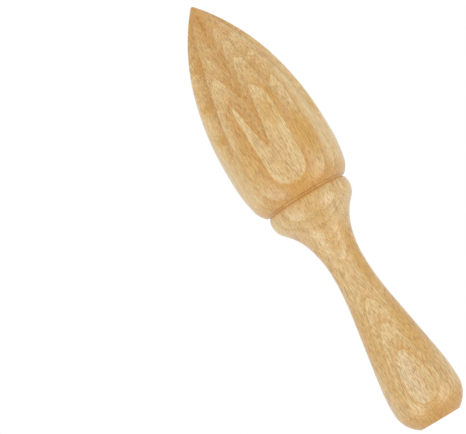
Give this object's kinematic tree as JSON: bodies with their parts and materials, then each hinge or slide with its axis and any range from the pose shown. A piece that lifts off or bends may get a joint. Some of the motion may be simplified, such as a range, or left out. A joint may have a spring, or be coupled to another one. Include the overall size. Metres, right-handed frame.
{
  "type": "citrus reamer",
  "caption": "Hand-held wooden citrus reamer: a pointed, fluted head over a rounded collar and a waisted handle, turned from one piece.",
  "frame": {"origin": "centre of the flat at the end of the handle", "axes": "+Z along the axis from the handle's flat end to the tip of the head; -Y faces the picture's camera"},
  "size_m": [0.0387, 0.0386, 0.165],
  "materials": {
    "beech": "sanded beech with a thin satin oil finish"
  },
  "bodies": {
    "root": {"reamer": "beech"}
  },
  "joints": []
}
